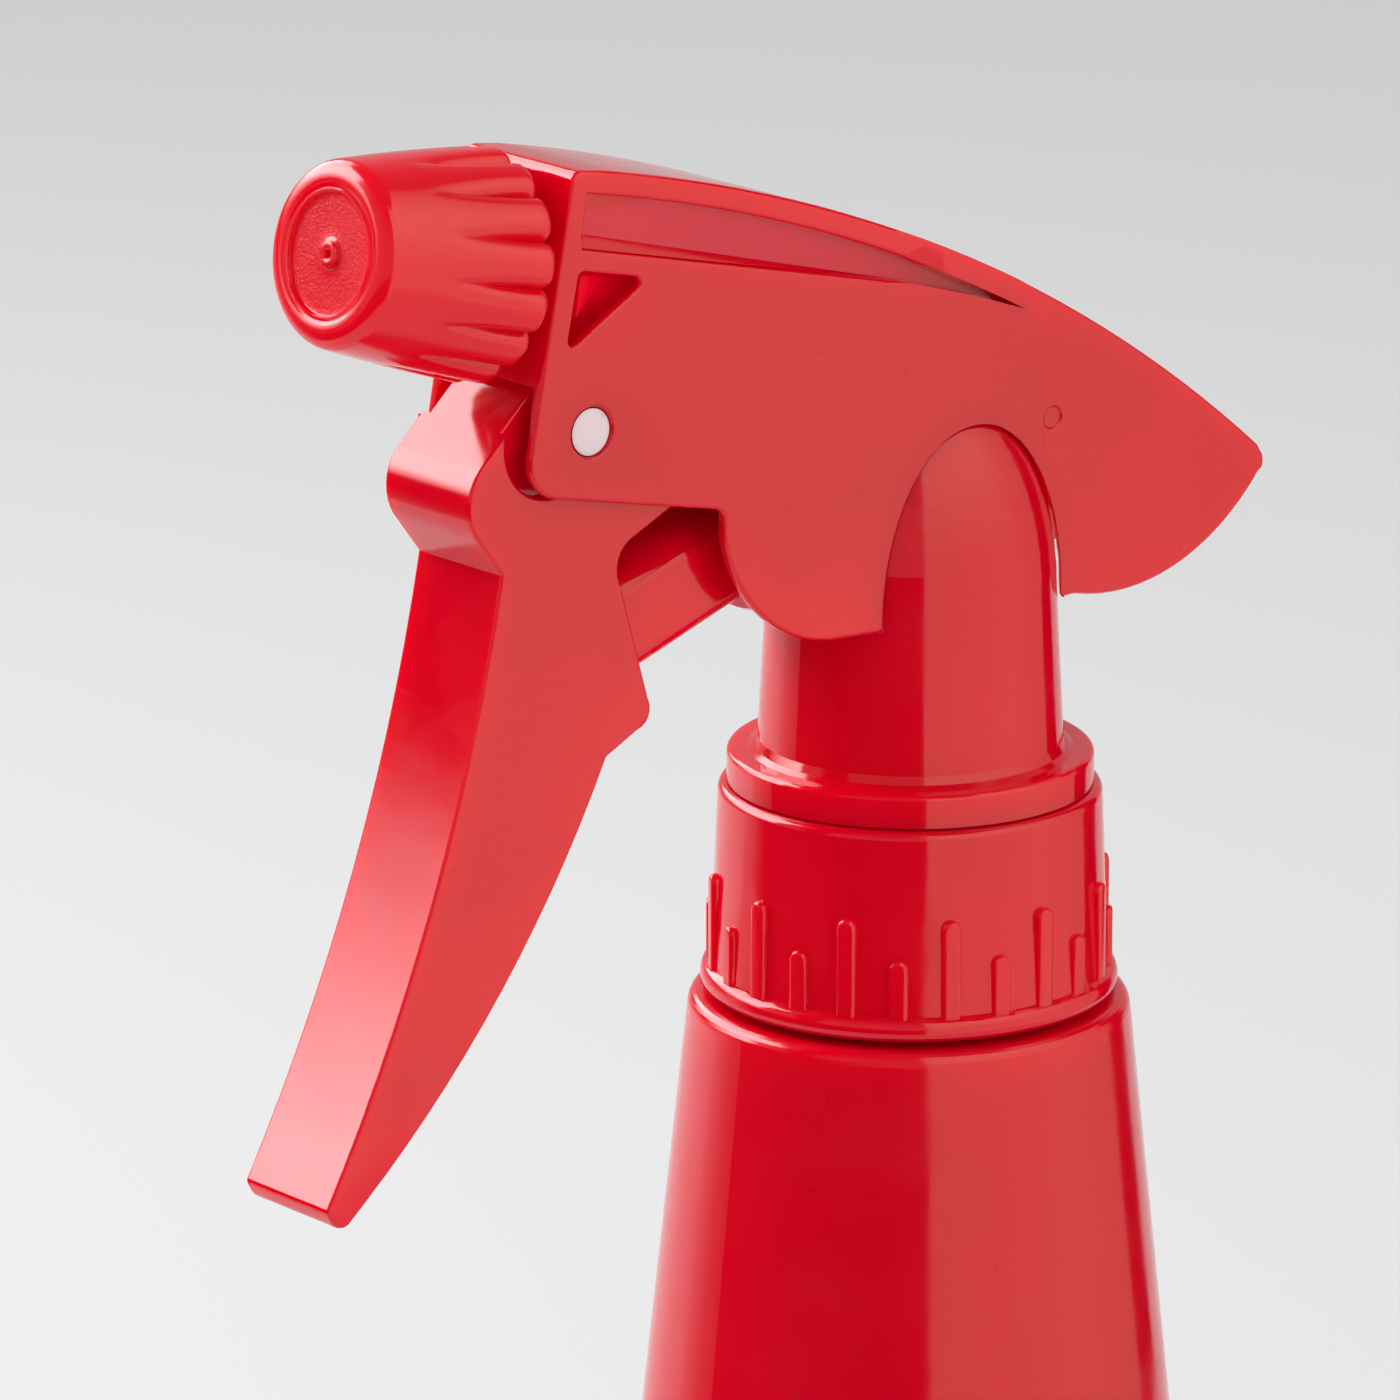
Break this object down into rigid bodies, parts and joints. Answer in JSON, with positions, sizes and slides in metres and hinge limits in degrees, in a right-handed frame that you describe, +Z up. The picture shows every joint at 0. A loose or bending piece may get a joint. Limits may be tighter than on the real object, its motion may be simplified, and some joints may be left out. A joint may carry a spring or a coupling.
{
  "type": "hand mister",
  "caption": "Trigger spray bottle for misting plants: cone bottle, ribbed screw collar, hooded pump head and fluted twist nozzle.",
  "frame": {"origin": "centre of the bottle's base, on the surface it stands on", "axes": "+Z up the bottle's axis, +X the way the nozzle sprays, the trigger's pivot lies along Y"},
  "size_m": [0.103, 0.0692, 0.2322],
  "materials": {
    "bottle_red": "glossy blown polyethylene, deep red",
    "head_red": "glossy moulded polypropylene, slightly translucent red",
    "clear_plastic": "milky natural polyethylene",
    "white_plastic": "white moulded plastic",
    "seal_rubber": "pale soft seal",
    "spring_steel": "stainless spring wire"
  },
  "bodies": {
    "bottle": {"bottle": "bottle_red"},
    "collar": {"screw_collar": "head_red"},
    "head": {"pump_body": "head_red", "tube_insert": "clear_plastic", "closure_gasket": "seal_rubber", "dip_tube": "clear_plastic", "tube_strainer": "white_plastic", "shroud": "head_red", "spray_barrel": "head_red", "barrel_seal": "seal_rubber", "spinner": "white_plastic"},
    "trigger": {"trigger": "head_red"},
    "piston": {"piston": "head_red", "piston_cup": "clear_plastic", "vent_seal": "clear_plastic", "return_spring": "spring_steel"},
    "nozzle_cap": {"nozzle_cap": "head_red"},
    "inlet_ball": {"inlet_ball": "spring_steel"},
    "outlet_valve": {"outlet_valve": "clear_plastic", "outlet_spring": "spring_steel"}
  },
  "joints": [
    {"name": "head_swivel", "type": "hinge", "parent": "collar", "child": "head", "pos_m": [0, 0, 0.1653], "axis": [0, 0, 1], "range_deg": [-180, 180]},
    {"name": "collar_turn", "type": "hinge", "parent": "bottle", "child": "collar", "pos_m": [0, 0, 0.16], "axis": [0, 0, 1], "range_deg": [0, 450]},
    {"name": "trigger_pivot", "type": "hinge", "parent": "head", "child": "trigger", "pos_m": [0.0412, 0, 0.2078], "axis": [0, 1, 0], "range_deg": [0, 20], "stiffness_Nm_per_rad": 0.35, "springref_deg": -20.05},
    {"name": "piston_slide", "type": "slide", "parent": "head", "child": "piston", "axis": [-0.9455, 0, 0.3256], "range_m": [0, 0.00705], "deforming": ["return_spring"]},
    {"name": "nozzle_twist", "type": "hinge", "parent": "head", "child": "nozzle_cap", "pos_m": [0.0443, 0, 0.2208], "axis": [0.9781, 0, 0.2079], "range_deg": [0, 270]},
    {"name": "inlet_ball_lift", "type": "slide", "parent": "head", "child": "inlet_ball", "axis": [0, 0, 1], "range_m": [0, 0.0015]},
    {"name": "outlet_valve_slide", "type": "slide", "parent": "head", "child": "outlet_valve", "axis": [0.9781, 0, 0.2079], "range_m": [0, 0.0008], "stiffness_N_per_m": 60, "springref_m": -0.001, "deforming": ["outlet_spring"]}
  ],
  "couplings": [
    {"joint": "piston_slide", "follows": "trigger_pivot", "m_per_rad": 0.0199}
  ]
}
